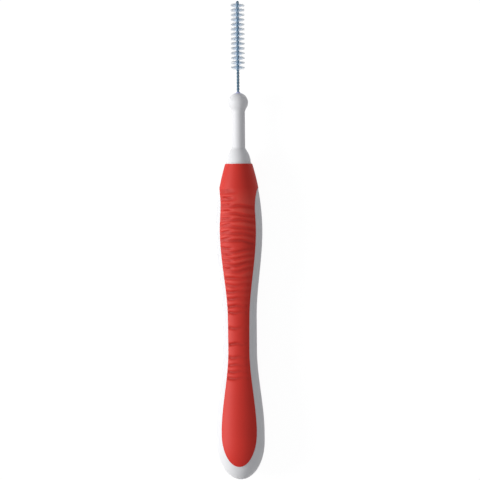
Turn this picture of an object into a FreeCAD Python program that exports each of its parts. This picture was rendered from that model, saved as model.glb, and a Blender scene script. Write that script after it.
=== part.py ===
import FreeCAD, Part
import math
import os

# Interdental brush lying on its back: butt towards -X, wire tip towards +X, thumb side up.
# Stations are distances along the brush from the butt end, in millimetres.

V = FreeCAD.Vector

# Handle: two bulges with a waist between them and a nose that tapers to a round end
BUTT_LENGTH = 8.0
LOWER_BULGE_LENGTH = 1.7
LOWER_TAPER_LENGTH = 17.3
WAIST_LENGTH = 7.0
UPPER_TAPER_LENGTH = 18.0
NOSE_LENGTH = 13.9
BULGE_WIDTH = 10.0
BULGE_THICKNESS = 8.6
WAIST_WIDTH = 7.06
WAIST_THICKNESS = 6.3
UPPER_BULGE_WIDTH = 9.7
UPPER_BULGE_THICKNESS = 8.4
NOSE_DIAMETER = 5.5

# Soft grip: a panel on the front and the back, joined by a full collar round the nose
GRIP_WALL = 1.0
GRIP_PROUD = 0.1
COLLAR_LEDGE = 0.2
COLLAR_LIP = 0.2
COLLAR_HEIGHT = 4.9
RAIL_WIDTH = 1.35
RAIL_END_WIDTH = 0.3
RAIL_TAPER_LENGTH = 3.4
PANEL_TIP_INSET = 2.7
PANEL_TIP_WIDTH = 1.0
REST_FLAT_DEPTH = 0.2

# Finger ribs: the grooves that part them cross the panels, but for a smooth spot under the thumb
RIB_GROOVE_DEPTH = 0.22
RIB_GROOVE_WIDTH = 0.5
FINE_RIB_PITCH = 1.42
COARSE_RIB_PITCH = 3.3
LOWER_RIB_COUNT = 4
LOWER_RIB_OFFSET = 11.4
WAIST_RIB_COUNT = 2
WAIST_RIB_OFFSET = 1.2
THUMB_STATION = 48.7
THUMB_LENGTH = 2.3
UPPER_RIB_MARGIN = 0.7

# Shoulder, neck and guard ball
SHOULDER_LENGTH = 3.4
SHOULDER_TOP_DIAMETER = 3.16
NECK_DIAMETER = 2.78
NECK_LENGTH = 7.9
NECK_SOCKET_DEPTH = 6.0
SOCKET_CLEARANCE = 0.02
BALL_DIAMETER = 4.12

# Twisted wire: one wire folded at the tip, its two strands wound round each other
STRAND_DIAMETER = 0.27
BARE_WIRE_LENGTH = 4.7
BARE_TWIST_PITCH = 1.34
WIRE_BORE_CLEARANCE = 0.03
WIRE_ROOT_MARGIN = 1.0

# Filaments gripped between the strands: each half turn of the wire fans out one row
ROW_COUNT = 14
ROW_SPACING = 1.0
BRISTLE_DIAMETER = 3.0
FILAMENT_DIAMETER = 0.08
FILAMENT_GAP = 0.003
FILAMENT_CLEARANCE = 0.01
TIP_LENGTH = 0.5

# Stations along the brush
LOWER_TAPER_START = BUTT_LENGTH + LOWER_BULGE_LENGTH
WAIST_START = LOWER_TAPER_START + LOWER_TAPER_LENGTH
WAIST_END = WAIST_START + WAIST_LENGTH
NOSE_START = WAIST_END + UPPER_TAPER_LENGTH
COLLAR_TOP = NOSE_START + NOSE_LENGTH
RAIL_TIP = COLLAR_TOP - COLLAR_HEIGHT
SHOULDER_TOP = COLLAR_TOP + SHOULDER_LENGTH
NECK_ROOT = SHOULDER_TOP - NECK_SOCKET_DEPTH
NECK_TOP = SHOULDER_TOP + NECK_LENGTH
BALL_CENTRE = NECK_TOP + math.sqrt(BALL_DIAMETER ** 2 - NECK_DIAMETER ** 2) / 2
BALL_TOP = BALL_CENTRE + BALL_DIAMETER / 2
ROWS_START = BALL_TOP + BARE_WIRE_LENGTH
ROWS_END = ROWS_START + ROW_COUNT * ROW_SPACING
OVERALL_LENGTH = ROWS_END + TIP_LENGTH

# The origin is midway along the brush, on the surface that the back lies on
AXIS_HEIGHT = BULGE_THICKNESS / 2 + GRIP_PROUD - REST_FLAT_DEPTH
HELIX_RADIUS = (STRAND_DIAMETER + FILAMENT_DIAMETER) / 2 + FILAMENT_CLEARANCE
WIRE_RADIUS = HELIX_RADIUS + STRAND_DIAMETER / 2
WIRE_BORE_RADIUS = WIRE_RADIUS + WIRE_BORE_CLEARANCE
TRIM_DIAMETER = 2 * (WIRE_RADIUS + STRAND_DIAMETER)
FOLD_START = OVERALL_LENGTH - WIRE_RADIUS
BRISTLE_TWIST_PITCH = 2 * ROW_SPACING
SECTION_SPACING = 1.7
PANEL_TIP_SECTIONS = 8
COLLAR_SECTIONS = 5


def at(station, across=0.0, above=0.0):
    """Point at a station, measured across and above the brush's axis."""
    return V(station - OVERALL_LENGTH / 2, across, AXIS_HEIGHT + above)


def ease(start_value, end_value, share):
    """Value that leaves start_value and reaches end_value with no slope."""
    return start_value + (end_value - start_value) * share * share * (3 - 2 * share)


def profile(station, bulge, waist, upper_bulge, nose):
    """Half size of the handle at a station, from its half sizes at the bulges, waist and nose."""
    if station < BUTT_LENGTH:
        return bulge * math.sqrt(1 - (1 - station / BUTT_LENGTH) ** 2)
    if station < LOWER_TAPER_START:
        return bulge
    if station < WAIST_START:
        return ease(bulge, waist, (station - LOWER_TAPER_START) / LOWER_TAPER_LENGTH)
    if station < WAIST_END:
        return waist
    if station < NOSE_START:
        return ease(waist, upper_bulge, (station - WAIST_END) / UPPER_TAPER_LENGTH)
    share = (station - NOSE_START) / NOSE_LENGTH
    return upper_bulge + (nose - upper_bulge) * share * share


def half_width(station):
    return profile(station, BULGE_WIDTH / 2, WAIST_WIDTH / 2, UPPER_BULGE_WIDTH / 2, NOSE_DIAMETER / 2)


def half_thickness(station):
    upper = UPPER_BULGE_THICKNESS / 2
    return profile(station, BULGE_THICKNESS / 2, WAIST_THICKNESS / 2, upper, NOSE_DIAMETER / 2)


def rail_width(station):
    """Width of the hard rail beside the panel, which narrows below the collar."""
    left = (RAIL_TIP - station) / RAIL_TAPER_LENGTH
    return RAIL_END_WIDTH + (RAIL_WIDTH - RAIL_END_WIDTH) * min(1, left)


def panel_half_width(station):
    """Half width of the soft panel: rounded at the lower tip, then an even rail inside the handle."""
    if station >= LOWER_TAPER_START:
        return half_width(station) - rail_width(station)
    share = (LOWER_TAPER_START - station) / (LOWER_TAPER_START - PANEL_TIP_INSET)
    widest = BULGE_WIDTH / 2 - RAIL_WIDTH
    tip = PANEL_TIP_WIDTH / 2
    return tip + (widest - tip) * math.sqrt(1 - share * share)


def groove_stations():
    """Stations of the grooves between the finger ribs."""
    lower_start = LOWER_TAPER_START + LOWER_RIB_OFFSET
    lower = [lower_start + FINE_RIB_PITCH * step for step in range(LOWER_RIB_COUNT)]
    waist = [WAIST_START + WAIST_RIB_OFFSET + COARSE_RIB_PITCH * step for step in range(WAIST_RIB_COUNT)]
    upper = []
    for side, limit in ((1, RAIL_TIP - UPPER_RIB_MARGIN), (-1, WAIST_END + UPPER_RIB_MARGIN)):
        first = THUMB_STATION + side * THUMB_LENGTH / 2
        count = math.floor(abs(limit - first) / FINE_RIB_PITCH) + 1
        upper += [first + side * FINE_RIB_PITCH * step for step in range(count)]
    return lower + waist + upper


def panel_sections():
    """Stations of the panel's sections, each with the depth of the groove there."""
    tip_length = LOWER_TAPER_START - PANEL_TIP_INSET
    turns = [math.pi / 2 * step / PANEL_TIP_SECTIONS for step in range(PANEL_TIP_SECTIONS)]
    sections = [(LOWER_TAPER_START - tip_length * math.cos(turn), 0.0) for turn in turns]
    count = math.ceil((RAIL_TIP - LOWER_TAPER_START) / SECTION_SPACING)
    step_length = (RAIL_TIP - LOWER_TAPER_START) / count
    plain = [LOWER_TAPER_START + step_length * step for step in range(count)]
    grooves = groove_stations()
    for station in plain:
        if all(abs(station - groove) > RIB_GROOVE_WIDTH for groove in grooves):
            sections.append((station, 0.0))
    for groove in grooves:
        sections.append((groove - RIB_GROOVE_WIDTH / 2, 0.0))
        sections.append((groove, RIB_GROOVE_DEPTH))
        sections.append((groove + RIB_GROOVE_WIDTH / 2, 0.0))
    sections.append((RAIL_TIP, 0.0))
    return sorted(sections)


def ellipse_arc(centre, first_axis, second_axis, start, end):
    """Arc of an ellipse, under half a turn, from its half axes and its angles from the first one."""
    def point(angle, reach):
        return centre + (first_axis * math.cos(angle) + second_axis * math.sin(angle)) * reach

    half = (end - start) / 2
    arc = Part.BezierCurve()
    arc.setPoles([point(start, 1), point((start + end) / 2, 1 / math.cos(half)), point(end, 1)])
    arc.setWeight(2, math.cos(half))
    return arc.toShape()


def oval_arc(station, wide, thick, start, end):
    """Arc of the oval across the brush at a station, from its half width and half thickness."""
    return ellipse_arc(at(station), V(0, wide, 0), V(0, 0, thick), start, end)


def oval(station, wide, thick):
    """Whole oval outline in four arcs."""
    quarter = math.pi / 2
    arcs = [oval_arc(station, wide, thick, quarter * step, quarter * (step + 1)) for step in range(4)]
    return Part.Wire(arcs)


def joined(edges):
    """Closed outline of arcs, with a straight wall from each arc's end to the next one's start."""
    outline = []
    for edge, following in zip(edges, edges[1:] + edges[:1]):
        outline.append(edge)
        wall_start = edge.valueAt(edge.LastParameter)
        wall_end = following.valueAt(following.FirstParameter)
        outline.append(Part.LineSegment(wall_start, wall_end).toShape())
    return Part.Wire(outline)


def seat_oval(station):
    """Half sizes of the oval that the panel lies on, under the handle's face."""
    return half_width(station) - rail_width(station) / 2, half_thickness(station) - GRIP_WALL


def core_outline(station):
    """Section of the core: a rail on each side, and the seats of both panels between them."""
    edge = panel_half_width(station)
    wide, thick = half_width(station), half_thickness(station)
    seat_wide, seat_thick = seat_oval(station)
    outer = math.acos(edge / wide)
    inner = math.acos(edge / seat_wide)
    return joined([
        oval_arc(station, wide, thick, -outer, outer),
        oval_arc(station, seat_wide, seat_thick, inner, math.pi - inner),
        oval_arc(station, wide, thick, math.pi - outer, math.pi + outer),
        oval_arc(station, seat_wide, seat_thick, math.pi + inner, 2 * math.pi - inner),
    ])


def panel_outline(station, groove_depth):
    """Section of the front panel: proud of the handle's face, less the groove there."""
    edge = panel_half_width(station)
    rise = GRIP_PROUD - groove_depth
    wide, thick = half_width(station) + rise, half_thickness(station) + rise
    seat_wide, seat_thick = seat_oval(station)
    outer = math.acos(edge / wide)
    inner = math.acos(edge / seat_wide)
    return joined([
        oval_arc(station, wide, thick, outer, math.pi - outer),
        oval_arc(station, seat_wide, seat_thick, math.pi - inner, inner),
    ])


def collar_bore():
    """Hard nose inside the collar, which sits on a ledge and thins to a lip at the top."""
    wall = GRIP_WALL + COLLAR_LEDGE
    throat = oval(RAIL_TIP, half_width(RAIL_TIP) - wall, half_thickness(RAIL_TIP) - wall)
    lip_radius = NOSE_DIAMETER / 2 - COLLAR_LIP
    return Part.makeLoft([throat, oval(COLLAR_TOP, lip_radius, lip_radius)], True, True)


def rod(diameter, start, end):
    """Round rod on the brush's axis between two stations."""
    return Part.makeCylinder(diameter / 2, end - start, at(start), V(1, 0, 0))


def butt_cap():
    """Rounded end of the handle below the panels."""
    reach = 1 - PANEL_TIP_INSET / BUTT_LENGTH
    latitude = math.degrees(math.asin(reach))
    cap = Part.makeSphere(1, V(), V(-1, 0, 0), latitude, 90)
    press = FreeCAD.Matrix()
    press.scale(BUTT_LENGTH, BULGE_WIDTH / 2, BULGE_THICKNESS / 2)
    press.move(at(BUTT_LENGTH))
    return cap.transformGeometry(press)


def shoulder():
    """Bell-shaped end of the core, from inside the collar's lip up to the neck."""
    base = NOSE_DIAMETER / 2 - COLLAR_LIP
    top = SHOULDER_TOP_DIAMETER / 2
    turn = math.asin(top / base)
    bell_height = SHOULDER_LENGTH / math.cos(turn)
    bell = ellipse_arc(at(COLLAR_TOP), V(bell_height, 0, 0), V(0, base, 0), turn, math.pi / 2)
    corners = [at(SHOULDER_TOP, top), at(SHOULDER_TOP), at(COLLAR_TOP), at(COLLAR_TOP, base)]
    half_section = Part.Face(Part.Wire(Part.makePolygon(corners).Edges + [bell]))
    return half_section.revolve(at(COLLAR_TOP), V(1, 0, 0), 360)


def handle_core(nose):
    rails = Part.makeLoft([core_outline(station) for station, depth in panel_sections()], True, True)
    socket = rod(NECK_DIAMETER + 2 * SOCKET_CLEARANCE, NECK_ROOT, SHOULDER_TOP)
    return rails.multiFuse([butt_cap(), nose, shoulder()]).cut(socket)


def grip_sleeve(nose):
    front = Part.makeLoft([panel_outline(station, depth) for station, depth in panel_sections()], True, True)
    back = front.mirror(at(0), V(0, 0, 1))
    stations = [RAIL_TIP + COLLAR_HEIGHT * step / COLLAR_SECTIONS for step in range(COLLAR_SECTIONS + 1)]
    rings = [oval(station, half_width(station) + GRIP_PROUD, half_thickness(station) + GRIP_PROUD)
             for station in stations]
    collar = Part.makeLoft(rings, True, True).cut(nose)
    below = Part.makeBox(OVERALL_LENGTH, 2 * BULGE_WIDTH, BULGE_WIDTH)
    below.translate(V(-OVERALL_LENGTH / 2, -BULGE_WIDTH, -BULGE_WIDTH))
    return collar.multiFuse([front, back.cut(below)])


def neck_stem():
    bore = rod(2 * WIRE_BORE_RADIUS, NECK_ROOT + WIRE_ROOT_MARGIN, NECK_TOP)
    return rod(NECK_DIAMETER, NECK_ROOT, NECK_TOP).cut(bore)


def guard_ball():
    ball = Part.makeSphere(BALL_DIAMETER / 2, at(BALL_CENTRE))
    seat = rod(BALL_DIAMETER, NECK_TOP - BALL_DIAMETER, NECK_TOP)
    bore = rod(2 * WIRE_BORE_RADIUS, NECK_TOP, BALL_TOP)
    return ball.cut(seat).cut(bore)


def strand(start, end, pitch, start_angle):
    """One strand of the twisted wire, cut square at both ends."""
    spare = STRAND_DIAMETER
    helix = Part.makeHelix(pitch, end - start + 2 * spare, HELIX_RADIUS)
    helix.rotate(V(), V(0, 0, 1), math.degrees(start_angle - 2 * math.pi * spare / pitch))
    first = helix.Edges[0]
    begin = first.valueAt(first.FirstParameter)
    along = first.tangentAt(first.FirstParameter)
    ring = Part.Wire(Part.Circle(begin, along, STRAND_DIAMETER / 2).toShape())
    tube = Part.Wire(helix.Edges).makePipeShell([ring], True, True)
    tube.rotate(V(), V(0, 1, 0), 90)
    tube.rotate(V(), V(1, 0, 0), 90)
    tube.translate(at(start - spare))
    return tube.common(rod(TRIM_DIAMETER, start, end))


def twisted_pair(start, end, pitch, start_angle):
    strands = [strand(start, end, pitch, start_angle + turn) for turn in (0, math.pi)]
    return Part.makeCompound(strands)


def bare_angle(station):
    """Angle of the first strand at a station of the bare wire."""
    return -2 * math.pi * (ROWS_START - station) / BARE_TWIST_PITCH


def brush_angle(station):
    """Angle of the first strand at a station among the filaments, from 0 where they start."""
    return 2 * math.pi * (station - ROWS_START) / BRISTLE_TWIST_PITCH


def anchor_wire():
    root = NECK_ROOT + WIRE_ROOT_MARGIN
    return twisted_pair(root, NECK_TOP, BARE_TWIST_PITCH, bare_angle(root))


def bare_wire():
    return twisted_pair(NECK_TOP, ROWS_START, BARE_TWIST_PITCH, bare_angle(NECK_TOP))


def tip_fold():
    """Hairpin where the wire turns back and its two strands begin."""
    angle = brush_angle(FOLD_START)
    outward = V(0, math.cos(angle), math.sin(angle))
    ring = Part.Circle(at(FOLD_START) + outward * HELIX_RADIUS, V(1, 0, 0), STRAND_DIAMETER / 2)
    return Part.Face(Part.Wire(ring.toShape())).revolve(at(FOLD_START), outward.cross(V(1, 0, 0)), 180)


def brush_wire():
    strands = twisted_pair(ROWS_START, FOLD_START, BRISTLE_TWIST_PITCH, brush_angle(ROWS_START))
    return Part.makeCompound(strands.Solids + [tip_fold()])


def bristle_row(row):
    """Filaments of one row: each lies across the axis, square to the strands beside it."""
    count = math.floor(ROW_SPACING / (FILAMENT_DIAMETER + FILAMENT_GAP))
    filaments = []
    for step in range(count):
        station = ROWS_START + (row + (step + 0.5) / count) * ROW_SPACING
        angle = brush_angle(station) + math.pi / 2
        direction = V(0, math.cos(angle), math.sin(angle))
        start = at(station) - direction * (BRISTLE_DIAMETER / 2)
        filaments.append(Part.makeCylinder(FILAMENT_DIAMETER / 2, BRISTLE_DIAMETER, start, direction))
    return Part.makeCompound(filaments)


def build():
    """Every piece of the brush by name."""
    nose = collar_bore()
    pieces = {
        "handle_core": handle_core(nose),
        "grip_sleeve": grip_sleeve(nose),
        "neck_stem": neck_stem(),
        "guard_ball": guard_ball(),
        "anchor_wire": anchor_wire(),
        "bare_wire": bare_wire(),
        "brush_wire": brush_wire(),
    }
    for row in range(ROW_COUNT):
        pieces[f"bristle_row_{row + 1:02d}"] = bristle_row(row)
    return pieces


os.makedirs("parts", exist_ok=True)
for name, shape in build().items():
    shape.exportStep(f"parts/{name}.step")
    print(name, len(shape.Solids), "solids", round(shape.Volume, 4), "mm3", shape.isValid())
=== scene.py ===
"""Interdental brush: hard handle core, soft grip, bendable neck, twisted wire and nylon filaments."""

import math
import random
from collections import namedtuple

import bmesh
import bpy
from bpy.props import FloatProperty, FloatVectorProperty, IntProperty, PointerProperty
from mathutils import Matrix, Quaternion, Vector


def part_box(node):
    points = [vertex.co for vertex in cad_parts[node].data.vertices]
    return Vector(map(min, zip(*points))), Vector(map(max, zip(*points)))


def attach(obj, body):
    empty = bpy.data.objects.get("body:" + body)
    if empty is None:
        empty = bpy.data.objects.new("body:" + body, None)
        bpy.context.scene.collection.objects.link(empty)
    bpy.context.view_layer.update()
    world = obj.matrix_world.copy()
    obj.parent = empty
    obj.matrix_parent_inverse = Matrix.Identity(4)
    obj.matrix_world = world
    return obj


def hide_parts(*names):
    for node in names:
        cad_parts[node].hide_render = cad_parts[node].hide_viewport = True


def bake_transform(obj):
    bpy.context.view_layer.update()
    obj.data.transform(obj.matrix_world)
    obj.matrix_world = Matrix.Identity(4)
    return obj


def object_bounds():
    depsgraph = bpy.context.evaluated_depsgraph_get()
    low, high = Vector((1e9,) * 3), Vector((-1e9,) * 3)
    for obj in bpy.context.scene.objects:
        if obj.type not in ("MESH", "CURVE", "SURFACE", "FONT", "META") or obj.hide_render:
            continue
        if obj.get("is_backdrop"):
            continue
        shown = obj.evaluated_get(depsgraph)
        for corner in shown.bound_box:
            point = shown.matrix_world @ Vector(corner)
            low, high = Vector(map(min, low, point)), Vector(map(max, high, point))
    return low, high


bl_info = {
    "name": "Interdental Brush",
    "version": (1, 0, 0),
    "blender": (4, 5, 0),
    "location": "View3D > Sidebar > Brush",
    "description": "Models an interdental brush, piece by piece, around its frame",
    "category": "Add Mesh",
}

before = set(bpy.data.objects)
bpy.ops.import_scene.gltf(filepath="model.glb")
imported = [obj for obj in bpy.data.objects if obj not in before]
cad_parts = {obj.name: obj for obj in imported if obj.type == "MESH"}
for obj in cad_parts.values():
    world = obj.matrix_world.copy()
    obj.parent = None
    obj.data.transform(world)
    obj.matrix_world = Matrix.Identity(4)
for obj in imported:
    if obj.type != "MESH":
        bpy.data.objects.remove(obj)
cad_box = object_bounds()

MM = 0.001
MERGE_DISTANCE = 0.002 * MM

# Places along the brush, which lies along X with its wire tip towards +X and its thumb side up
BUTT, SHOULDER_TOP = (corner.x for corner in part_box("handle_core"))
PANEL_TIP, COLLAR_TOP = (corner.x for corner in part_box("grip_sleeve"))
NECK_ROOT, NECK_TOP = (corner.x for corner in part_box("neck_stem"))
ROWS_START, WIRE_TIP = (corner.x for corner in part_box("brush_wire"))
WIRE_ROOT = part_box("anchor_wire")[0].x
ROW_NODES = sorted(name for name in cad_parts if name.startswith("bristle_row_"))


def extent(node, axis):
    """Size of a frame node along one axis."""
    low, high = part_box(node)
    return high[axis] - low[axis]


AXIS_HEIGHT = sum(corner.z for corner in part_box("neck_stem")) / 2
REST_HEIGHT = cad_box[0].z
HANDLE_WIDTH = extent("handle_core", 1)
NECK_RADIUS = extent("neck_stem", 1) / 2
BALL_RADIUS = extent("guard_ball", 1) / 2
WIRE_RADIUS = extent("bare_wire", 1) / 2
BRISTLE_RADIUS = extent(ROW_NODES[0], 1) / 2
BALL_CENTRE = NECK_TOP + math.sqrt(BALL_RADIUS**2 - NECK_RADIUS**2)
ROW_SPACING = (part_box(ROW_NODES[-1])[0].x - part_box(ROW_NODES[0])[0].x) / (len(ROW_NODES) - 1)

# Fineness of the handle's mesh
TIP_STEPS = 18
RAIL_END_LENGTH = 1.6 * MM
RAIL_END_STEPS = 12

# How the grooves wander and vary, and how many of its widths from its line a groove still dips
GROOVE_WANDER = 0.09 * MM
GROOVE_WAVES = 4.4
GROOVE_SPAN = 2.5
DEPTH_SHARES = (0.8, 1.1)
WIDTH_SHARES = (0.85, 1.2)
PITCH_SHARES = (-0.1, 0.1)
PEAK_PLACES = (0.1, 0.35)


def linear(hex_colour):
    """Linear colour from an sRGB hex value."""
    channels = [int(hex_colour[start:start + 2], 16) / 255 for start in (1, 3, 5)]
    return [c / 12.92 if c <= 0.04045 else ((c + 0.055) / 1.055) ** 2.4 for c in channels]


def length(name, description, millimetres, least=0):
    return FloatProperty(
        name=name,
        description=description,
        default=millimetres * MM,
        min=least * MM,
        precision=5,
        unit="LENGTH",
    )


def colour(name, description, hex_colour):
    return FloatVectorProperty(
        name=name, description=description, default=linear(hex_colour), min=0, max=1, subtype="COLOR"
    )


def angle(name, description, degrees):
    return FloatProperty(name=name, description=description, default=math.radians(degrees), unit="ROTATION")


def factor(name, description, share):
    return FloatProperty(name=name, description=description, default=share, min=0, max=1, subtype="FACTOR")


class HandleSizes(bpy.types.PropertyGroup):
    """Hard core: two bulges with a waist between them, and a bell-shaped shoulder"""

    butt_length: length("Butt", "Length of the rounded end", 8.0)
    lower_bulge_length: length("Lower bulge", "Length of the widest stretch", 1.7)
    lower_taper_length: length("Lower taper", "Length from the lower bulge to the waist", 17.3)
    waist_length: length("Waist", "Length of the narrow stretch", 7.0)
    upper_taper_length: length("Upper taper", "Length from the waist to the upper bulge", 18.0)
    bulge_thickness: length("Bulge thickness", "Thickness of the lower bulge", 8.6)
    waist_width: length("Waist width", "Width of the waist", 7.06)
    waist_thickness: length("Waist thickness", "Thickness of the waist", 6.3)
    upper_bulge_width: length("Upper bulge width", "Width of the upper bulge", 9.7)
    upper_bulge_thickness: length("Upper bulge thickness", "Thickness of the upper bulge", 8.4)
    nose_diameter: length("Nose", "Diameter at the top of the collar", 5.5)
    lip_height: length("Lip height", "Height of the flange above the collar", 0.32)
    lip_overhang: length("Lip overhang", "How far the flange stands out past the shoulder", 0.1)
    lip_groove: length("Lip groove", "Width of the fine line between flange and shoulder", 0.1)
    bell_top_slope: angle("Bell top", "Slope of the shoulder against the axis where it leaves the neck", 37)
    bell_base_slope: angle("Bell base", "Slope of the shoulder against the axis above the flange", 6)
    bell_fillet: length("Bell fillet", "Radius between the shoulder and the neck", 0.5)
    socket_clearance: length("Socket clearance", "Gap round the neck's root", 0.01)


class GripSizes(bpy.types.PropertyGroup):
    """Soft grip: a ribbed panel on the front and the back, joined by a collar"""

    wall: length("Wall", "Thickness of the soft panels", 1.0)
    collar_wall: length("Collar lip", "Thickness at the top of the collar", 0.3)
    proud: length("Proud", "Height of the panels above the hard rails", 0.1)
    rim_radius: length("Rim", "Radius along the edges of the panels", 0.12)
    collar_height: length("Collar", "Height of the collar above the rails", 4.9)
    rail_width: length("Rail", "Width of the hard rail beside the panels", 1.38)
    upper_rail_width: length("Upper rail", "Width of the rail beside the upper bulge", 1.14)
    rail_taper_length: length("Rail taper", "Length over which the rail runs out", 5.5)
    groove_depth: length("Groove depth", "Depth of the grooves between the ribs", 0.26)
    groove_width: length("Groove width", "Width of a groove", 0.36)
    fineness: factor("Fineness", "Width of the grooves at the left edge against the others", 0.6)
    crest: factor("Crest", "How much of a groove's depth stands up as ribs beside it", 0.3)
    fine_pitch: length("Fine pitch", "Spacing of the ribs under the thumb", 1.42)
    coarse_pitch: length("Coarse pitch", "Spacing of the ribs at the waist", 3.3)
    thumb_spot: length("Thumb spot", "Distance of the smooth spot from the butt", 48.7)
    thumb_length: length("Thumb length", "Length of the smooth spot", 2.3)
    thumb_reach: length("Thumb reach", "How far from the spot the ribs still arch", 12.0)
    arch: length("Arch", "Rise of the ribs beside the spot", 0.55)
    faded_length: length("Faded ribs", "Stretch below the collar where the ribs run out on one side", 3.0)
    lower_offset: length("Lower offset", "Distance of the first rib from the lower bulge", 11.4)
    lower_count: IntProperty(name="Lower ribs", description="Ribs below the waist", default=4, min=0)
    waist_offset: length("Waist offset", "Distance of the first rib from the start of the waist", 1.2)
    waist_count: IntProperty(name="Waist ribs", description="Ribs at the waist", default=2, min=0)
    seed: IntProperty(name="Seed", description="Draw of the uneven ribs", default=7)


class NeckSizes(bpy.types.PropertyGroup):
    """Neck and guard ball, moulded round the root of the wire"""

    chamfer: length("Chamfer", "Bevel at the root inside the socket", 0.3)
    fillet: length("Fillet", "Radius between the neck and the ball", 0.35)
    nub_diameter: length("Nub", "Diameter of the little nub where the wire comes out", 0.9)
    nub_height: length("Nub height", "Height of the nub over the ball", 0.16)
    nub_round: length("Nub round", "Rounding of the nub's edge", 0.08)
    glow_diameter: length("Wire glow", "Width over which the wire shows through the ball's top", 2.6)
    bore_clearance: length("Bore clearance", "Gap round the wire", 0.02)


class WireSizes(bpy.types.PropertyGroup):
    """One coated wire, folded at the tip and twisted on itself"""

    strand_diameter: length("Strand", "Diameter of the coated wire", 0.3)
    bare_pitch: length("Bare pitch", "Length of one turn below the filaments", 1.34)
    bend_length: length("Bend", "Stretch of bare wire that bends by hand", 2.8)
    seat_depth: length("Seat", "How far the bending wire reaches into the ball", 3.0)


class FilamentSizes(bpy.types.PropertyGroup):
    """Nylon filaments gripped between the strands, in a helix"""

    diameter: length("Diameter", "Diameter of one filament", 0.062)
    per_row: IntProperty(name="Per row", description="Filaments in each half turn", default=44, min=1)
    lean: length("Lean", "How far a filament's ends stray along the wire", 0.18)
    uneven: factor("Uneven", "How much shorter the shortest filament is", 0.05)
    seed: IntProperty(name="Seed", description="Draw of the uneven filaments", default=3)


class Finishes(bpy.types.PropertyGroup):
    """Colours of the brush"""

    hard_plastic: colour("Hard plastic", "Colour of core and neck", "#EDEDEE")
    soft_grip: colour("Soft grip", "Colour of the grip", "#D82818")
    # Painted highlight: the ribs' crests are drawn in this paler red, as where light catches them
    crest_highlight: colour("Worn grip", "Colour of the grip where fingers rub it", "#F26453")
    coated_wire: colour("Coated wire", "Colour of the wire's coat", "#5E849C")
    filament: colour("Filament", "Colour of the nylon", "#E6E9EC")
    # Also the colour of the filaments' painted glow near the wire
    wire_glow: colour("Wire glow", "Colour of the filaments close to the wire", "#CFE4F8")
    neck_glow: colour("Neck glow", "Colour of the wire through the top of the ball", "#B4B9E4")


class StageSettings(bpy.types.PropertyGroup):
    """Camera, light and floor"""

    view_length: length("View", "Length that fills the picture", 100.3)
    lens: FloatProperty(
        name="Lens",
        description="Focal length in millimetres",
        default=400,
        min=1,
        subtype="DISTANCE_CAMERA",
    )
    view_turn: angle("Turn", "Turn of the view round the brush's length", 6.0)
    view_roll: angle("Roll", "Slant of the brush in the picture", -0.45)
    view_shift: length("Shift", "How far the view's middle lies beside the brush's axis", -0.15, least=-5)
    light_height: angle("Light height", "Height of the key light over the floor", 28.0)
    key_strength: factor("Key", "Brightness of a white wall facing the light", 0.83)
    fill_low: factor("Low fill", "Brightness of the room at the height of the floor", 0.04)
    fill_strength: factor("Overhead fill", "How much brighter the room is overhead", 0.52)
    fill_side: factor("Side fill", "How much brighter the room is on the right", 0.01)
    room: colour("Room", "Colour of the fill", "#FAFBFF")
    paper: colour("Paper", "Colour of the floor as the brush reflects it", "#E6E6E6")
    floor_glow: factor("Floor glow", "Part of the floor's white that no shadow dims", 0.95)
    floor_shade: factor("Floor shade", "Part of the floor's white that a shadow dims", 0.1)


# Modelling


def select_only(*pieces):
    """Selects these pieces alone, the first one active; with none, an operator acts on what it adds."""
    if bpy.context.object and bpy.context.object.mode == "EDIT":
        bpy.ops.object.mode_set(mode="OBJECT")
    bpy.ops.object.select_all(action="DESELECT")
    for piece in reversed(pieces):
        piece.select_set(True)
        bpy.context.view_layer.objects.active = piece


def named(name):
    """The piece that an operator has just added, with its name."""
    piece = bpy.context.object
    piece.name = piece.data.name = name
    return piece


def spread(start, end, count):
    """Even steps from start to end, both ends included."""
    return [start + (end - start) * step / count for step in range(count + 1)]


def ease(start_value, end_value, share):
    """Value that leaves start_value and reaches end_value with no slope."""
    return start_value + (end_value - start_value) * share * share * (3 - 2 * share)


def close_mesh():
    """Merges doubles, turns the faces outwards and leaves edit mode."""
    bpy.ops.mesh.select_all(action="SELECT")
    bpy.ops.mesh.remove_doubles(threshold=MERGE_DISTANCE)
    bpy.ops.mesh.normals_make_consistent(inside=False)
    bpy.ops.object.mode_set(mode="OBJECT")


def fill_ring(mesh, ring):
    """Closes one end with a face across its ring."""
    bpy.ops.mesh.select_all(action="DESELECT")
    for vertex in ring:
        vertex.select_set(True)
    mesh.select_flush(True)
    bpy.ops.mesh.edge_face_add()


def extruded_from(vertex):
    """The selected vertex that an extrusion has just drawn out of this one."""
    neighbours = (edge.other_vert(vertex) for edge in vertex.link_edges)
    return next(neighbour for neighbour in neighbours if neighbour.select)


def extrude_rings(name, rings, filled=True):
    """Extrudes a circle from ring to ring, setting each one on its outline, and closes filled ends."""
    select_only()
    bpy.ops.mesh.primitive_circle_add(vertices=len(rings[0]), radius=MM, enter_editmode=True)
    piece = named(name)
    mesh = bmesh.from_edit_mesh(piece.data)
    ring = first = list(mesh.verts)
    for vertex, point in zip(ring, rings[0]):
        vertex.co = point
    for outline in rings[1:]:
        bpy.ops.mesh.extrude_region_move()
        ring = [extruded_from(vertex) for vertex in ring]
        for vertex, point in zip(ring, outline):
            vertex.co = point
    if filled:
        fill_ring(mesh, first)
        fill_ring(mesh, ring)
    close_mesh()
    return piece


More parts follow.
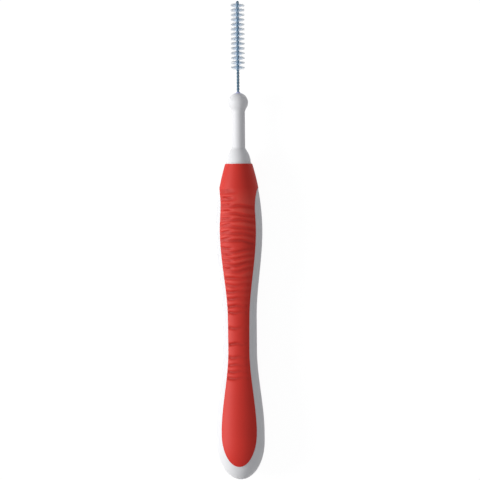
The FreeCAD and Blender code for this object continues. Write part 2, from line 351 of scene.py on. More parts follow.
def spin_profile(name, profile, steps):
    """Extrudes a vertex through (x, radius) points and spins the line round the brush's axis."""
    select_only()
    bpy.ops.mesh.primitive_plane_add(size=MM, enter_editmode=True)
    piece = named(name)
    bpy.ops.mesh.merge(type="CENTER")
    points = [Vector((x, radius, AXIS_HEIGHT)) for x, radius in profile]
    bpy.ops.transform.translate(value=points[0])
    for start, end in zip(points, points[1:]):
        bpy.ops.mesh.extrude_region_move(TRANSFORM_OT_translate={"value": end - start})
    bpy.ops.mesh.select_all(action="SELECT")
    bpy.ops.mesh.spin(steps=steps, angle=2 * math.pi, center=(0, 0, AXIS_HEIGHT), axis=(1, 0, 0))
    close_mesh()
    return piece


def tube_rings(path, radius, sides):
    """Rings square to a path, turning no more than the path does."""
    rings = []
    across = Vector((0, 0, radius))
    turns = spread(0, 2 * math.pi, sides)[:-1]
    for before, point, after in zip(path[:1] + path, path, path[1:] + path[-1:]):
        along = (after - before).normalized()
        across = (across - along * across.dot(along)).normalized() * radius
        beside = along.cross(across)
        rings.append([point + across * math.cos(turn) + beside * math.sin(turn) for turn in turns])
    return rings


def apply_modifier(piece, kind, **settings):
    """Adds a modifier with its settings and applies it."""
    bpy.context.view_layer.objects.active = piece
    modifier = piece.modifiers.new(kind.title(), kind)
    for name, value in settings.items():
        setattr(modifier, name, value)
    bpy.ops.object.modifier_apply(modifier=modifier.name)


def mark(piece, name, value):
    """Keeps a value for each vertex, worked out from its place, for the finish to read."""
    kept = piece.data.attributes.new(name, "FLOAT", "POINT")
    for vertex in piece.data.vertices:
        kept.data[vertex.index].value = value(vertex.co)


def ramp(value, start, end):
    """Share of the way from start to end, held at 0 and 1 outside them."""
    return min(1, max(0, (value - start) / (end - start)))


def on_axis(x):
    return Vector((x, 0, AXIS_HEIGHT))


def from_axis(place):
    return math.hypot(place.y, place.z - AXIS_HEIGHT)


def shade(piece, degrees):
    """Smooth shading, with edges sharper than the angle left crisp."""
    select_only(piece)
    bpy.ops.object.shade_smooth_by_angle(angle=math.radians(degrees))


# Shape of the handle


def taper_start(handle):
    return BUTT + handle.butt_length + handle.lower_bulge_length


def waist_start(handle):
    return taper_start(handle) + handle.lower_taper_length


def waist_end(handle):
    return waist_start(handle) + handle.waist_length


def swell(x, handle, bulge, waist, upper_bulge):
    """Half size of the handle at x, from its half sizes at the bulges and the waist."""
    nose_start = waist_end(handle) + handle.upper_taper_length
    if x < BUTT + handle.butt_length:
        share = 1 - (x - BUTT) / handle.butt_length
        return bulge * math.sqrt(max(0, 1 - share * share))
    if x < taper_start(handle):
        return bulge
    if x < waist_start(handle):
        return ease(bulge, waist, (x - taper_start(handle)) / handle.lower_taper_length)
    if x < waist_end(handle):
        return waist
    if x < nose_start:
        return ease(waist, upper_bulge, (x - waist_end(handle)) / handle.upper_taper_length)
    share = ramp(x, nose_start, COLLAR_TOP)
    return upper_bulge + (handle.nose_diameter / 2 - upper_bulge) * share * share


def half_sizes(x, handle, rise=0.0):
    """Half width and half thickness at x, on the hard handle or a rise above it."""
    widths = (HANDLE_WIDTH, handle.waist_width, handle.upper_bulge_width)
    thicknesses = (handle.bulge_thickness, handle.waist_thickness, handle.upper_bulge_thickness)
    return [swell(x, handle, *(size / 2 for size in sizes)) + rise for sizes in (widths, thicknesses)]


def rail_tip(grip):
    return COLLAR_TOP - grip.collar_height


def rail_width(x, handle, grip):
    """Width of the hard rail, which narrows upwards and runs out to a point below the collar."""
    narrowed = ramp(x, waist_start(handle), BUTT + grip.thumb_spot)
    width = ease(grip.rail_width, grip.upper_rail_width, narrowed)
    left = ramp(x, rail_tip(grip), rail_tip(grip) - grip.rail_taper_length)
    return width * left * (2 - left)


def panel_half_width(x, handle, grip):
    """Half width of the soft panel: a round lower tip, then an even rail inside the handle's edge."""
    start = taper_start(handle)
    if x >= start:
        return half_sizes(x, handle)[0] - rail_width(x, handle, grip)
    share = (start - x) / (start - PANEL_TIP)
    return (HANDLE_WIDTH / 2 - grip.rail_width) * math.sqrt(max(0, 1 - share * share))


def rim_angle(x, handle, grip):
    """Angle round the handle, from its side, where rail and panel meet."""
    return math.acos(min(1, panel_half_width(x, handle, grip) / half_sizes(x, handle)[0]))


def grip_wall(x, grip):
    """Thickness of the soft grip, which thins towards the top of the collar."""
    return ease(grip.wall, grip.collar_wall, ramp(x, rail_tip(grip), COLLAR_TOP))


def panel_stations(handle, grip, spacing):
    """Stations along the panels, closer together where their edges turn at both ends."""
    tip_length = taper_start(handle) - PANEL_TIP
    turns = spread(0, math.pi / 2, TIP_STEPS)
    stations = [taper_start(handle) - tip_length * math.cos(turn) for turn in turns]
    rail_end = rail_tip(grip) - RAIL_END_LENGTH
    stations += spread(stations[-1], rail_end, math.ceil((rail_end - stations[-1]) / spacing))[1:]
    shares = spread(1, 0, RAIL_END_STEPS)[1:]
    return stations + [rail_tip(grip) - RAIL_END_LENGTH * share * share for share in shares]


def oval(x, half, turns):
    """Points on the oval across the handle at x, flat where it rests on the floor."""
    heights = [max(REST_HEIGHT, AXIS_HEIGHT + half[1] * math.sin(turn)) for turn in turns]
    return [Vector((x, half[0] * math.cos(turn), height)) for turn, height in zip(turns, heights)]


def paired_ring(x, rail_half, panel_half, rim, counts):
    """Outline across the handle: rail, panel, rail, panel, which meet at the rim's angle."""
    ring = []
    for turn in (0, math.pi):
        ring += oval(x, rail_half, spread(turn - rim, turn + rim, counts[0]))
        ring += oval(x, panel_half, spread(turn + rim, turn + math.pi - rim, counts[1]))
    return ring


class BRUSH_OT_hard_core(bpy.types.Operator):
    """Hard core: rounded butt, side rails with seats for the grip between them, lip and shoulder"""

    bl_idname = "brush.hard_core"
    bl_label = "Hard Core"
    counts = (28, 20)
    butt_steps = 12
    rail_spacing = 0.7 * MM
    collar_steps = 8
    bell_steps = 14
    fillet_steps = 6
    crease_degrees = 35

    def execute(self, context):
        handle, grip = context.scene.brush_handle, context.scene.brush_grip
        rings = [*self.butt(handle), *self.rails(handle, grip), *self.nose(handle, grip)]
        core = extrude_rings("hard_core", rings + self.shoulder(handle))
        shade(core, self.crease_degrees)
        core.data.materials.append(moulded_polypropylene("core", context.scene.brush_finishes))
        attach(core, "handle")
        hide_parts("handle_core")
        return {"FINISHED"}

    def butt(self, handle):
        """Rings from the pole of the butt to the tips of the panels."""
        last_turn = math.acos(1 - (PANEL_TIP - BUTT) / handle.butt_length)
        for turn in spread(0, last_turn, self.butt_steps):
            x = BUTT + handle.butt_length * (1 - math.cos(turn))
            half = half_sizes(x, handle)
            yield paired_ring(x, half, half, math.pi / 2, self.counts)

    def rails(self, handle, grip):
        """Rings along the rails, with both panels' seats sunk between them."""
        for x in panel_stations(handle, grip, self.rail_spacing)[1:]:
            face = half_sizes(x, handle)
            seat = half_sizes(x, handle, grip.proud - grip.wall)
            yield paired_ring(x, face, seat, rim_angle(x, handle, grip), self.counts)

    def nose(self, handle, grip):
        """Rings inside the collar."""
        for x in spread(rail_tip(grip), COLLAR_TOP, self.collar_steps):
            half = half_sizes(x, handle, grip.proud - grip_wall(x, grip))
            yield paired_ring(x, half, half, 0, self.counts)

    def shoulder(self, handle):
        """Rings of the lip, the bell of the shoulder and the neck's socket."""
        line = handle.lip_groove
        lip_top = COLLAR_TOP + handle.lip_height
        bell_start = lip_top + line
        fillet = handle.bell_fillet
        socket = NECK_RADIUS + handle.socket_clearance
        slopes = spread(handle.bell_base_slope, handle.bell_top_slope, self.bell_steps)
        steepest = slopes[-1]
        rise = SHOULDER_TOP - bell_start - fillet * math.sin(steepest)
        bend = rise / (math.sin(steepest) - math.sin(slopes[0]))
        top = socket + fillet * (1 - math.cos(steepest))
        bell = []
        for slope in slopes:
            x = bell_start + bend * (math.sin(slope) - math.sin(slopes[0]))
            bell.append((x, top + bend * (math.cos(slope) - math.cos(steepest))))
        for slope in spread(steepest, 0, self.fillet_steps)[1:]:
            bell.append((SHOULDER_TOP - fillet * math.sin(slope), socket + fillet * (1 - math.cos(slope))))
        base = bell[0][1]
        lip = base + handle.lip_overhang
        profile = [(COLLAR_TOP, lip), (lip_top - line, lip), (lip_top, lip - line)]
        profile += [(lip_top, base - line), (bell_start, base - line)] + bell + [(NECK_ROOT, socket)]
        return [paired_ring(x, (radius, radius), (radius, radius), 0, self.counts) for x, radius in profile]


# Finger ribs

Groove = namedtuple("Groove", "x arch peak depth width phase reach")


# Share of a groove's depth at a place across the panel, from -1 at the right edge to 1 at the left


def leaning(across):
    """Groove that is deepest on the left and faint on the right."""
    faint = 0.3
    return faint + (1 - faint) * ramp(across, -0.6, 0.3)


def fading(across):
    """Groove that is deepest in the middle."""
    left_loss, right_loss = 0.35, 0.4
    return 1 - left_loss * ramp(across, 0.1, 0.5) - right_loss * ramp(across, -0.2, -0.8)


def left_half(across):
    """Groove that runs out towards the right."""
    deepest = 0.7
    return deepest * ramp(across, -0.1, 0.4)


def left_edge(across):
    """Fine groove that shows only near the left edge."""
    deepest = 0.85
    return deepest * ramp(across, 0.2, 0.5)


def finger_grooves(handle, grip):
    """Grooves that part the ribs: straight below, arching away from the smooth thumb spot above."""
    draw = random.Random(grip.seed)
    thumb = BUTT + grip.thumb_spot
    pitch = grip.fine_pitch
    lower_start = taper_start(handle) + grip.lower_offset
    lower = [lower_start + pitch * step for step in range(grip.lower_count)]
    coarse_start = waist_start(handle) + grip.waist_offset
    lower += [coarse_start + grip.coarse_pitch * step for step in range(grip.waist_count)]
    upper = []
    for side, limit in ((1, rail_tip(grip)), (-1, waist_end(handle))):
        first = thumb + side * grip.thumb_length / 2
        count = math.ceil(abs(limit - first) / pitch)
        upper += [first + side * pitch * step for step in range(count)]

    def cut(x, reach, fineness=1.0):
        away = (x - thumb) / grip.thumb_reach
        arch = grip.arch * math.copysign(max(0, 1 - away * away), away)
        depth = grip.groove_depth * draw.uniform(*DEPTH_SHARES)
        width = grip.groove_width * draw.uniform(*WIDTH_SHARES) * fineness
        x += pitch * draw.uniform(*PITCH_SHARES)
        peak = draw.uniform(*PEAK_PLACES)
        return Groove(x, arch, peak, depth, width, draw.uniform(0, 2 * math.pi), reach)

    faded = rail_tip(grip) - grip.faded_length
    thumb_start = thumb - grip.thumb_reach / 2
    lower += [x for x in upper if x < thumb_start]
    upper = [x for x in upper if x >= thumb_start]
    grooves = [cut(x, leaning) for x in lower]
    grooves += [cut(x, left_half if x > faded else fading) for x in upper]
    return grooves + [cut(x + pitch / 2, left_edge, grip.fineness) for x in upper]


def groove_dip(groove, x, across):
    """Depth of a groove at x, at a place across the panel from -1 to 1."""
    line = groove.x - groove.arch * (across - groove.peak) ** 2
    line += GROOVE_WANDER * math.sin(GROOVE_WAVES * across + groove.phase)
    gap = (x - line) / groove.width
    return groove.depth * groove.reach(across) * math.exp(-gap * gap) if abs(gap) < GROOVE_SPAN else 0


class BRUSH_OT_soft_grip(bpy.types.Operator):
    """Soft grip: one sheet with a slot for each rail, thickened, rounded along its rim and ribbed"""

    bl_idname = "brush.soft_grip"
    bl_label = "Soft Grip"
    counts = (2, 36)
    rib_spacing = 0.15 * MM
    collar_steps = 14
    rim_segments = 2
    rim_degrees = 55
    rim_fade = 0.3 * MM
    crease_degrees = 50

    def execute(self, context):
        handle, grip = context.scene.brush_handle, context.scene.brush_grip
        piece = self.sheet(handle, grip)
        self.cut_slots(piece, handle, grip)
        self.thicken(piece, grip)
        self.rib(piece, handle, grip)
        shade(piece, self.crease_degrees)
        piece.data.materials.append(soft_touch_elastomer(context.scene.brush_finishes))
        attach(piece, "handle")
        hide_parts("grip_sleeve")
        return {"FINISHED"}

    def sheet(self, handle, grip):
        """Outer face of the grip, still closed over the rails."""
        rings = []
        stations = panel_stations(handle, grip, self.rib_spacing)
        stations += spread(rail_tip(grip), COLLAR_TOP, self.collar_steps)[1:]
        for x in stations:
            half = half_sizes(x, handle, grip.proud)
            rings.append(paired_ring(x, half, half, rim_angle(x, handle, grip), self.counts))
        return extrude_rings("soft_grip", rings, filled=False)

    def cut_slots(self, piece, handle, grip):
        """Deletes the faces over the rails."""
        select_only(piece)
        bpy.ops.object.mode_set(mode="EDIT")
        bpy.ops.mesh.select_mode(type="FACE")
        bpy.ops.mesh.select_all(action="DESELECT")
        mesh = bmesh.from_edit_mesh(piece.data)
        for face in mesh.faces:
            centre = face.calc_center_median()
            stretch = half_sizes(centre.x, handle, grip.proud)[0] / half_sizes(centre.x, handle)[0]
            if centre.x < rail_tip(grip):
                face.select_set(abs(centre.y) > panel_half_width(centre.x, handle, grip) * stretch)
        bpy.ops.mesh.delete(type="FACE")
        bpy.ops.mesh.select_mode(type="VERT")
        bpy.ops.object.mode_set(mode="OBJECT")

    def thicken(self, piece, grip):
        """Gives the sheet its wall and rounds the rims."""
        wall = piece.vertex_groups.new(name="wall")
        for vertex in piece.data.vertices:
            wall.add([vertex.index], grip_wall(vertex.co.x, grip) / grip.wall, "REPLACE")
        apply_modifier(piece, "SOLIDIFY", thickness=grip.wall, offset=-1, vertex_group="wall")
        apply_modifier(
            piece,
            "BEVEL",
            width=grip.rim_radius,
            segments=self.rim_segments,
            limit_method="ANGLE",
            angle_limit=math.radians(self.rim_degrees),
        )
        bpy.ops.object.mode_set(mode="EDIT")
        close_mesh()

    def rib(self, piece, handle, grip):
        """Presses the grooves into the outer face and keeps their depth for the finish, which paints shade
        in the grooves and a highlight on the crests from it.
        """
        grooves = finger_grooves(handle, grip)

        def dip(place):
            half = half_sizes(place.x, handle, grip.proud)
            edge = panel_half_width(place.x, handle, grip)
            height = place.z - AXIS_HEIGHT
            sunk = half[1] * (1 - math.hypot(place.y / half[0], height / half[1]))
            if place.x > rail_tip(grip) or sunk > grip.rim_radius or edge <= 0:
                return 0
            across = math.copysign(1, height) * place.y / edge
            depth = sum(groove_dip(groove, place.x, across) for groove in grooves) / grip.groove_depth
            swelling = grip.crest * ramp(place.x, waist_end(handle), waist_end(handle) + grip.thumb_reach)
            swelling *= ramp(abs(place.x - BUTT - grip.thumb_spot), 0, grip.thumb_length)
            swelling *= ramp(place.x, rail_tip(grip), rail_tip(grip) - grip.faded_length)
            return (depth - swelling) * ramp(abs(place.y), edge, edge - self.rim_fade)

        mark(piece, "groove", dip)
        for vertex, kept in zip(piece.data.vertices, piece.data.attributes["groove"].data):
            half = half_sizes(vertex.co.x, handle, grip.proud)
            outwards = Vector((0, vertex.co.y / half[0] ** 2, (vertex.co.z - AXIS_HEIGHT) / half[1] ** 2))
            vertex.co -= outwards.normalized() * kept.value * grip.groove_depth
            vertex.co.z = max(REST_HEIGHT, vertex.co.z)


# Neck, wire and filaments


class BRUSH_OT_neck(bpy.types.Operator):
    """Neck and guard ball in one moulding, bored for the root of the wire"""

    bl_idname = "brush.neck"
    bl_label = "Neck and Ball"
    steps = 48
    neck_steps = 24
    ball_steps = 22
    bore_steps = 44
    crease_degrees = 40

    def execute(self, context):
        sizes = context.scene.brush_neck
        neck = spin_profile("neck_and_ball", self.profile(sizes), self.steps)
        mark(neck, "wire_glow", lambda place: self.wire_glow(place, sizes))
        shade(neck, self.crease_degrees)
        neck.data.materials.append(moulded_polypropylene("neck", context.scene.brush_finishes))
        on_axis(SHOULDER_TOP)
        on_axis(NECK_TOP)
        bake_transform(neck)
        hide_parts("neck_stem", "guard_ball")
        return {"FINISHED"}

    def wire_glow(self, place, sizes):
        """How plainly the wire shows through the top of the ball."""
        near = ramp(from_axis(place), sizes.glow_diameter / 2, WIRE_RADIUS)
        return near * ramp(place.x, BALL_CENTRE, BALL_CENTRE + BALL_RADIUS)

    def profile(self, sizes):
        """Outline from the root up the neck, round the ball and nub, and down the bore."""
        nub = sizes.nub_diameter / 2
        bore = WIRE_RADIUS + sizes.bore_clearance
        nub_turn = math.asin(nub / BALL_RADIUS)
        nub_top = BALL_CENTRE + BALL_RADIUS + sizes.nub_height
        points = [(NECK_ROOT, 0), (NECK_ROOT, NECK_RADIUS - sizes.chamfer)]
        points += [(NECK_ROOT + sizes.chamfer, NECK_RADIUS)]
        points += [(x, NECK_RADIUS) for x in spread(SHOULDER_TOP, NECK_TOP - sizes.fillet, self.neck_steps)]
        fillet_turn = math.pi - math.asin(NECK_RADIUS / BALL_RADIUS) - sizes.fillet / BALL_RADIUS
        for turn in spread(fillet_turn, nub_turn, self.ball_steps):
            points.append((BALL_CENTRE + BALL_RADIUS * math.cos(turn), BALL_RADIUS * math.sin(turn)))
        points += [(nub_top - sizes.nub_round, nub), (nub_top, nub - sizes.nub_round)]
        bore_end = WIRE_ROOT - sizes.bore_clearance
        points += [(x, bore) for x in spread(nub_top, bore_end, self.bore_steps)]
        return points + [(bore_end, 0)]


def strand_angle(x, wire):
    """Angle of the first strand at x: steep turns below the filaments, one half turn a row among them."""
    if x < ROWS_START:
        return 2 * math.pi * (x - ROWS_START) / wire.bare_pitch
    return math.pi * (x - ROWS_START) / ROW_SPACING


def strand_point(x, reach, wire):
    """Point on the strand's line, at a share of its distance from the axis."""
    turn = strand_angle(x, wire)
    distance = reach * (WIRE_RADIUS - wire.strand_diameter / 2)
    return Vector((x, distance * math.cos(turn), AXIS_HEIGHT + distance * math.sin(turn)))


class BRUSH_OT_wire(bpy.types.Operator):
    """Coated wire: its root inside the neck, and the hairpin that bends by hand"""

    bl_idname = "brush.wire"
    bl_label = "Twisted Wire"
    sides = 10
    step = 0.11 * MM
    fold_steps = 12
    crease_degrees = 60

    def execute(self, context):
        wire = context.scene.brush_wire
        finish = coated_steel_wire(context.scene.brush_finishes)
        seat = BALL_CENTRE + BALL_RADIUS - wire.seat_depth
        hairpin = self.hairpin(seat, wire)
        root = self.root(seat, wire)
        for piece in (hairpin, root):
            shade(piece, self.crease_degrees)
            piece.data.materials.append(finish)
        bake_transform(hairpin)
        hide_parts("bare_wire", "brush_wire")
        on_axis(SHOULDER_TOP)
        on_axis(NECK_TOP)
        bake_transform(root)
        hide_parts("anchor_wire")
        return {"FINISHED"}

    def strand(self, start, end, reach, wire):
        stations = spread(start, end, math.ceil((end - start) / self.step))
        return [strand_point(x, reach, wire) for x in stations]

    def hairpin(self, start, wire):
        """One strand up to the tip, round the fold and back down."""
        fold = WIRE_TIP - WIRE_RADIUS
        fold_height = WIRE_RADIUS - wire.strand_diameter / 2
        turns = spread(0, math.pi, self.fold_steps)[1:-1]
        path = self.strand(start, fold, 1, wire)
        path += [strand_point(fold + fold_height * math.sin(turn), math.cos(turn), wire) for turn in turns]
        path += self.strand(start, fold, -1, wire)[::-1]
        return extrude_rings("wire_hairpin", tube_rings(path, wire.strand_diameter / 2, self.sides))

    def root(self, end, wire):
        """Both strands inside the neck."""
        paths = [self.strand(WIRE_ROOT, end, reach, wire) for reach in (1, -1)]
        rings = [tube_rings(path, wire.strand_diameter / 2, self.sides) for path in paths]
        strands = [extrude_rings("wire_root", strand) for strand in rings]
        select_only(*strands)
        bpy.ops.object.join()
        return strands[0]


class BRUSH_OT_filaments(bpy.types.Operator):
    """Rows of filaments: one is copied round a half turn, and that row is copied along the wire"""

    bl_idname = "brush.filaments"
    bl_label = "Nylon Filaments"
    sides = 4
    rings = 6
    crease_degrees = 60

    def execute(self, context):
        sizes = context.scene.brush_filaments
        finish = drawn_nylon(context.scene.brush_finishes)
        draw = random.Random(sizes.seed)
        first = self.first_row(sizes)
        rows = [first] + [self.copy(first, row) for row in range(1, len(ROW_NODES))]
        for row, node in zip(rows, ROW_NODES):
            self.tousle(row, sizes, draw)
            mark(row, "reach", lambda place: from_axis(place) / BRISTLE_RADIUS)
            shade(row, self.crease_degrees)
            row.data.materials.append(finish)
            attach(row, "brush")
            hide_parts(node)
        return {"FINISHED"}

    def first_row(self, sizes):
        """One filament across the wire, then copies that climb and turn with the strands."""
        step = ROW_SPACING / sizes.per_row
        turn = math.pi / sizes.per_row
        x = ROWS_START + step / 2
        tilt = (math.pi + turn) / 2
        across = Vector((0, math.cos(tilt), math.sin(tilt)))
        reaches = spread(-BRISTLE_RADIUS, BRISTLE_RADIUS, self.rings - 1)
        path = [on_axis(x) + across * reach for reach in reaches]
        row = extrude_rings("filament_row_01", tube_rings(path, sizes.diameter / 2, self.sides))
        bpy.ops.object.mode_set(mode="EDIT")
        bpy.ops.mesh.select_all(action="SELECT")
        for copy in range(1, sizes.per_row):
            bpy.ops.mesh.duplicate_move(TRANSFORM_OT_translate={"value": (step, 0, 0)})
            bpy.ops.transform.rotate(value=-turn, orient_axis="X", center_override=on_axis(x + step * copy))
        bpy.ops.object.mode_set(mode="OBJECT")
        return row

    def copy(self, first, row):
        """The first row again, further along the wire, with a mesh of its own."""
        select_only(first)
        bpy.ops.object.duplicate()
        piece = named(f"filament_row_{row + 1:02d}")
        bpy.ops.transform.translate(value=(row * ROW_SPACING, 0, 0))
        bpy.ops.object.transform_apply(location=True, rotation=False, scale=False)
        return piece

    def tousle(self, row, sizes, draw):
        """Makes each filament a little shorter and lets both its ends stray, as cut and used nylon does."""
        half = self.sides * self.rings // 2
        vertices = row.data.vertices
        for start in range(0, len(vertices), half):
            lean = draw.gauss(0, sizes.lean / 2)
            shorter = draw.uniform(0, sizes.uneven)
            for vertex in vertices[start:start + half]:
                out = vertex.co - on_axis(vertex.co.x)
                share = out.length / BRISTLE_RADIUS
                vertex.co += Vector((lean * share * share, 0, 0)) - out * shorter * share


# Finishes


def add_node(tree, kind, inputs=None, output=0, **settings):
    """Adds a shader node with its settings; each input is a plain value or a link. Hands back one output."""
    node = tree.nodes.new("ShaderNode" + kind)
    for name, value in settings.items():
        setattr(node, name, value)
    for name, value in (inputs or {}).items():
        if isinstance(value, bpy.types.NodeSocket):
            tree.links.new(value, node.inputs[name])
        else:
            node.inputs[name].default_value = value
    return node.outputs[output] if node.outputs else None


def new_finish(name):
    """Node material, and its tree with nothing in it yet."""
    material = bpy.data.materials.new(name)
    material.use_nodes = True
    material.node_tree.nodes.clear()
    return material, material.node_tree


def finished(material, kind, inputs):
    """The material, with its last node added and linked to its output."""
    surface = add_node(material.node_tree, kind, inputs)
    add_node(material.node_tree, "OutputMaterial", {"Surface": surface})
    return material


def scale_for(millimetres):
    """Texture scale whose features are that large, on Object coordinates in metres."""
    return 1 / (millimetres * MM)


def shaded(colour_value, brightness=1.0):
    """A colour made darker or lighter, with full alpha."""
    return [min(1, channel * brightness) for channel in colour_value] + [1]


def moulded_polypropylene(piece, finishes):
    """Polypropylene, injection moulded: white, satin, faintly cloudy from flow, with a fine grain."""
    material, tree = new_finish(f"Moulded polypropylene, {piece}")
    place = add_node(tree, "TexCoord", output="Object")
    white = finishes.hard_plastic
    cloud = add_node(tree, "TexNoise", {"Vector": place, "Scale": scale_for(7), "Detail": 3})
    whites = {"Factor": cloud, "A": shaded(white, 0.96), "B": shaded(white, 1.02)}
    tint = add_node(tree, "Mix", whites, "Result", data_type="RGBA")
    # Where the wire runs close under thin plastic, it shows through as a cool tint
    glow = add_node(tree, "Attribute", output="Fac", attribute_name="wire_glow")
    tints = {"Factor": glow, "A": tint, "B": shaded(finishes.neck_glow)}
    # The real grain is about 0.05 mm, too fine to show, so it is drawn at 0.2 mm
    grain = add_node(tree, "TexNoise", {"Vector": place, "Scale": scale_for(0.2)})
    roughness = {"Value": grain, "To Min": 0.46, "To Max": 0.56}
    relief = {"Height": grain, "Strength": 0.08, "Distance": 0.02 * MM}
    plastic = {
        "Base Color": add_node(tree, "Mix", tints, "Result", data_type="RGBA"),
        "Roughness": add_node(tree, "MapRange", roughness),
        "Normal": add_node(tree, "Bump", relief),
        "IOR": 1.49,
        "Specular IOR Level": 0.35,
        "Subsurface Weight": 0.06,
        "Subsurface Radius": (1, 1, 1),
        "Subsurface Scale": 0.6 * MM,
    }
    return finished(material, "BsdfPrincipled", plastic)


def soft_touch_elastomer(finishes):
    """Thermoplastic elastomer, overmoulded: red with a broad soft shine, with a painted highlight on the
    ribs' crests and painted shade in the grooves.
    """
    material, tree = new_finish("Overmoulded elastomer")
    place = add_node(tree, "TexCoord", output="Object")
    red = finishes.soft_grip
    cloud = add_node(tree, "TexNoise", {"Vector": place, "Scale": scale_for(5), "Detail": 3})
    reds = {"Factor": cloud, "A": shaded(red, 0.94), "B": shaded(red, 1.05)}
    tint = add_node(tree, "Mix", reds, "Result", data_type="RGBA")
    # Painted highlight: the crests of the ribs drawn paler, as where light catches them
    depth = add_node(tree, "Attribute", output="Fac", attribute_name="groove")
    height = add_node(tree, "Math", {0: depth, 1: -1}, operation="MULTIPLY")
    painted_crest_light = {"Factor": height, "A": tint, "B": shaded(finishes.crest_highlight)}
    tint = add_node(tree, "Mix", painted_crest_light, "Result", data_type="RGBA")
    # Painted shade: the grooves drawn in a darker red, the deeper the darker
    sunk = add_node(tree, "MapRange", {"Value": depth, "To Max": 0.62})
    tints = {"Factor": sunk, "A": tint, "B": shaded(red, 0.45)}
    # The mould's grain is about 0.06 mm, too fine to show, so it is drawn at 0.22 mm
    grain = add_node(tree, "TexNoise", {"Vector": place, "Scale": scale_for(0.22)})
    roughness = {"Value": grain, "To Min": 0.55, "To Max": 0.66}
    relief = {"Height": grain, "Strength": 0.12, "Distance": 0.03 * MM}
    rubber = {
        "Base Color": add_node(tree, "Mix", tints, "Result", data_type="RGBA"),
        "Roughness": add_node(tree, "MapRange", roughness),
        "Normal": add_node(tree, "Bump", relief),
        "IOR": 1.5,
    }
    return finished(material, "BsdfPrincipled", rubber)


def coated_steel_wire(finishes):
    """Steel wire in an extruded plastic coat: mid blue with a soft highlight along each turn."""
    material, tree = new_finish("Plastic coated steel wire")
    place = add_node(tree, "TexCoord", output="Object")
    blue = finishes.coated_wire
    streak = add_node(tree, "TexNoise", {"Vector": place, "Scale": scale_for(0.6)})
    blues = {"Factor": streak, "A": shaded(blue, 0.85), "B": shaded(blue, 1.15)}
    roughness = {"Value": streak, "To Min": 0.3, "To Max": 0.42}
    coat = {
        "Base Color": add_node(tree, "Mix", blues, "Result", data_type="RGBA"),
        "Roughness": add_node(tree, "MapRange", roughness),
        "IOR": 1.5,
    }
    return finished(material, "BsdfPrincipled", coat)


def drawn_nylon(finishes):
    """Nylon monofilament, drawn: pale and half clear, bluer by the wire, with a faint painted glow for the
    light that comes through.
    """
    material, tree = new_finish("Drawn nylon filament")
    place = add_node(tree, "TexCoord", output="Object")
    pale, blue = finishes.filament, shaded(finishes.wire_glow)
    cloud = add_node(tree, "TexNoise", {"Vector": place, "Scale": scale_for(0.8), "Detail": 1})
    pales = {"Factor": cloud, "A": shaded(pale, 0.9), "B": shaded(pale, 1.05)}
    tip = add_node(tree, "Mix", pales, "Result", data_type="RGBA")
    reach = add_node(tree, "Attribute", output="Fac", attribute_name="reach")
    tints = {"Factor": reach, "A": blue, "B": tip}
    # Painted glow for light coming through the nylon from the white all round, bluer by the wire, less of it
    # towards the cut tips
    painted_glow = {"Factor": reach, "A": blue, "B": shaded(pale, 0.3)}
    nylon = {
        "Base Color": add_node(tree, "Mix", tints, "Result", data_type="RGBA"),
        "Roughness": 0.35,
        "IOR": 1.53,
        "Alpha": 0.36,
        "Emission Color": add_node(tree, "Mix", painted_glow, "Result", data_type="RGBA"),
        "Emission Strength": 0.1,
    }
    return finished(material, "BsdfPrincipled", nylon)


def studio_paper(stage):
    """Matt white paper: white to the eye, with the brush's shadow left faint on it."""
    material, tree = new_finish("Matt white paper")
    rays = add_node(tree, "LightPath").node.outputs
    seen = rays["Is Camera Ray"]
    for ray in ("Is Glossy Ray", "Is Transmission Ray"):
        seen = add_node(tree, "Math", {0: seen, 1: rays[ray]}, operation="MAXIMUM")
    paper = add_node(tree, "BsdfDiffuse", {"Color": shaded(stage.paper)})
    faint = add_node(tree, "BsdfDiffuse", {"Color": [stage.floor_shade] * 3 + [1]})
    glow = add_node(tree, "Emission", {"Strength": stage.floor_glow})
    white = add_node(tree, "AddShader", {0: faint, 1: glow})
    return finished(material, "MixShader", {0: seen, 1: paper, 2: white})


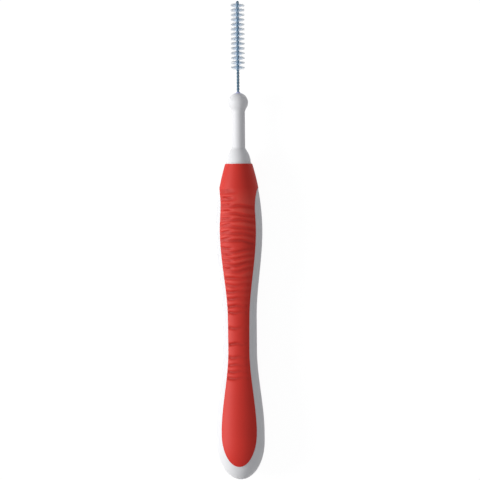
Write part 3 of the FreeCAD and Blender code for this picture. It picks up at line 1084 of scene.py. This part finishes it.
class BRUSH_OT_stage(bpy.types.Operator):
    """White floor, key light from the left, light from all round and the camera above"""

    bl_idname = "brush.stage"
    bl_label = "Stage"
    floor_size = 3.0
    floor_gap = 0.02 * MM
    light_distance = 0.5
    light_size = 0.22
    sensor = 36

    def execute(self, context):
        stage = context.scene.brush_stage
        context.scene.view_settings.view_transform = "Standard"
        self.floor(stage)
        self.key_light(stage)
        self.world(context.scene, stage)
        self.camera(context.scene, stage)
        return {"FINISHED"}

    def floor(self, stage):
        select_only()
        place = (0, 0, REST_HEIGHT - self.floor_gap)
        bpy.ops.mesh.primitive_plane_add(size=self.floor_size, location=place)
        floor = named("floor")
        floor.data.materials.append(studio_paper(stage))
        floor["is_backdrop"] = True

    def key_light(self, stage):
        """Area light beside the brush; its power gives a white wall facing it the set brightness."""
        aim = on_axis((BUTT + WIRE_TIP) / 2)
        towards = Vector((0, math.cos(stage.light_height), math.sin(stage.light_height)))
        bpy.ops.object.light_add(type="AREA", location=aim + towards * self.light_distance)
        light = bpy.context.object
        light.name = "key_light"
        light.data.size = self.light_size
        light.data.energy = stage.key_strength * math.pi**2 * self.light_distance**2
        light.rotation_euler = towards.to_track_quat("Z", "Y").to_euler()

    def world(self, scene, stage):
        """Light mostly from overhead, white where it is seen."""
        world = bpy.data.worlds.new("white_room")
        world.use_nodes = True
        tree = world.node_tree
        tree.nodes.clear()
        seen = add_node(tree, "LightPath", output="Is Camera Ray")
        way = add_node(tree, "TexCoord", output="Generated")
        bright = {0: way, 1: (0, -stage.fill_side, stage.fill_strength)}
        lean = add_node(tree, "VectorMath", bright, "Value", operation="DOT_PRODUCT")
        level = add_node(tree, "Math", {0: lean, 1: stage.fill_low}, operation="ADD")
        fill = add_node(tree, "Background", {"Color": shaded(stage.room), "Strength": level})
        white = add_node(tree, "Background", {"Color": (1, 1, 1, 1), "Strength": 1})
        mix = add_node(tree, "MixShader", {0: seen, 1: fill, 2: white})
        add_node(tree, "OutputWorld", {"Surface": mix})
        scene.world = world

    def camera(self, scene, stage):
        """Long lens above the brush, with the wire tip at the top of the picture."""
        back = Vector((0, -math.sin(stage.view_turn), math.cos(stage.view_turn)))
        aim = on_axis((BUTT + WIRE_TIP) / 2) + Vector((0, stage.view_shift, 0))
        bpy.ops.object.camera_add(location=aim + back * stage.view_length * stage.lens / self.sensor)
        camera = bpy.context.object
        camera.data.sensor_width = self.sensor
        camera.data.lens = stage.lens
        up = Quaternion(back, stage.view_roll) @ Vector((1, 0, 0))
        camera.rotation_euler = Matrix((up.cross(back), up, back)).transposed().to_euler()
        scene.camera = camera


class BRUSH_PT_panel(bpy.types.Panel):
    """Lists the brush's sizes, finishes and operators"""

    bl_idname = "BRUSH_PT_panel"
    bl_label = "Interdental Brush"
    bl_space_type = "VIEW_3D"
    bl_region_type = "UI"
    bl_category = "Brush"

    def draw(self, context):
        for operator in OPERATORS:
            self.layout.operator(operator.bl_idname)
        for name in SETTINGS:
            settings = getattr(context.scene, name)
            box = self.layout.box()
            box.label(text=type(settings).__doc__)
            for row in type(settings).__annotations__:
                box.prop(settings, row)


SETTINGS = {
    "brush_handle": HandleSizes,
    "brush_grip": GripSizes,
    "brush_neck": NeckSizes,
    "brush_wire": WireSizes,
    "brush_filaments": FilamentSizes,
    "brush_finishes": Finishes,
    "brush_stage": StageSettings,
}
OPERATORS = (
    BRUSH_OT_hard_core,
    BRUSH_OT_soft_grip,
    BRUSH_OT_neck,
    BRUSH_OT_wire,
    BRUSH_OT_filaments,
    BRUSH_OT_stage,
)


def register():
    for cls in (*SETTINGS.values(), *OPERATORS, BRUSH_PT_panel):
        bpy.utils.register_class(cls)
    for name, cls in SETTINGS.items():
        setattr(bpy.types.Scene, name, PointerProperty(type=cls))


def unregister():
    for name in SETTINGS:
        delattr(bpy.types.Scene, name)
    for cls in (BRUSH_PT_panel, *reversed(OPERATORS), *reversed(SETTINGS.values())):
        bpy.utils.unregister_class(cls)


def main():
    register()
    bpy.ops.brush.hard_core()
    bpy.ops.brush.soft_grip()
    bpy.ops.brush.neck()
    bpy.ops.brush.wire()
    bpy.ops.brush.filaments()
    bpy.ops.brush.stage()
    boxes = {"cad": cad_box, "visual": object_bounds()}
    boxes = {name: [list(corner) for corner in box] for name, box in boxes.items()}


if __name__ == "__main__":
    main()
